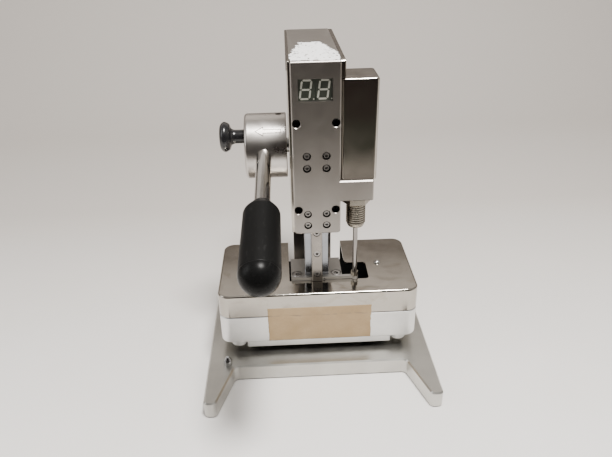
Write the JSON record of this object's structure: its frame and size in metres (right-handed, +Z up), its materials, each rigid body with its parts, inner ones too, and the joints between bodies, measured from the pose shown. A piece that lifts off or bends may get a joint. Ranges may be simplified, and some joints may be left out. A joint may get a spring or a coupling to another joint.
{
  "type": "bench lever press",
  "caption": "Small bench press with a rack-driven ram on a linear rail, side lever with indexing hub, wide flat platen, stroke damper and digital readout on a forked base.",
  "frame": {"origin": "on the underside of the non-slip mat, straight below the ram's centreline and level with the front face of the head's front plate", "axes": "+Z up, +X to the user's right, +Y to the back"},
  "size_m": [0.195, 0.2429, 0.2681],
  "materials": {
    "cast_plate": "satin anodised, bright machined edges",
    "silver_body": "fine bead-blasted silver",
    "hub_aluminium": "turned, satin",
    "polished_steel": "polished, lightly smudged",
    "ground_steel": "ground",
    "bright_screws": "zinc plated",
    "black_steel": "black oxide",
    "grip_plastic": "smooth black, worn satin on the sides",
    "knob_plastic": "smooth black",
    "cap_plastic": "moulded green",
    "black_rubber": "matt black",
    "black_liner": "matt black sheet",
    "display_face": "dark grey-green, unlit",
    "display_segment": "translucent pale grey, unlit",
    "circuit_board": "solder-mask green",
    "battery_sleeve": "shrink sleeve",
    "paper": "tan paper tape, blank, slightly wrinkled"
  },
  "bodies": {
    "frame": {"base_plate": "cast_plate", "non_slip_mat": "black_rubber", "tray_pins": "ground_steel", "base_screws": "bright_screws", "frame_body": "cast_plate", "front_plate": "cast_plate", "plate_screws": "black_steel", "carriage_screws": "bright_screws", "carriage_blocks": "ground_steel", "carriage_caps": "cap_plastic", "display_segments": "display_segment", "display_modules": "display_face", "display_board": "circuit_board", "left_panel": "polished_steel", "right_panel": "polished_steel", "panel_screws": "bright_screws", "damper_cover": "polished_steel", "damper_body": "ground_steel", "damper_nuts": "ground_steel", "shaft_bearings": "ground_steel", "battery": "battery_sleeve", "control_board": "circuit_board"},
    "ram": {"ram_bar": "ground_steel", "guide_rail": "ground_steel", "rail_screws": "bright_screws", "gear_rack": "ground_steel", "rack_screws": "bright_screws", "ram_foot": "silver_body", "foot_screws": "bright_screws", "foot_set_screw": "bright_screws", "damper_rod": "ground_steel", "rod_nuts": "ground_steel", "platen_cover": "polished_steel", "cover_posts": "ground_steel", "cover_studs": "polished_steel", "liner_sheet": "black_liner", "platen_body": "silver_body", "load_cell": "ground_steel", "press_plate": "silver_body", "press_plate_screws": "bright_screws", "press_pad": "black_rubber", "corner_bosses": "silver_body", "boss_screws": "bright_screws", "paper_tape": "paper"},
    "lever": {"pinion_gear": "ground_steel", "pinion_shaft": "ground_steel", "pinion_key": "ground_steel", "retaining_ring": "black_steel", "lever_hub": "hub_aluminium", "index_disc": "ground_steel", "hub_set_screw": "bright_screws", "lever_rod": "polished_steel", "lever_grip": "grip_plastic", "plunger_bush": "ground_steel"},
    "knob": {"release_knob": "knob_plastic", "plunger_pin": "ground_steel"}
  },
  "joints": [
    {"name": "ram_slide", "type": "slide", "parent": "frame", "child": "ram", "axis": [0, 0, 1], "range_m": [-0.005, 0.03]},
    {"name": "lever_swing", "type": "hinge", "parent": "frame", "child": "lever", "pos_m": [-0.02, 0.047, 0.1894], "axis": [-1, 0, 0], "range_deg": [-18.2, 107.8]},
    {"name": "knob_pull", "type": "slide", "parent": "lever", "child": "knob", "axis": [-1, 0, 0], "range_m": [0, 0.005], "stiffness_N_per_m": 400, "springref_m": -0.005}
  ],
  "couplings": [
    {"joint": "lever_swing", "follows": "ram_slide", "rad_per_m": 62.5}
  ]
}
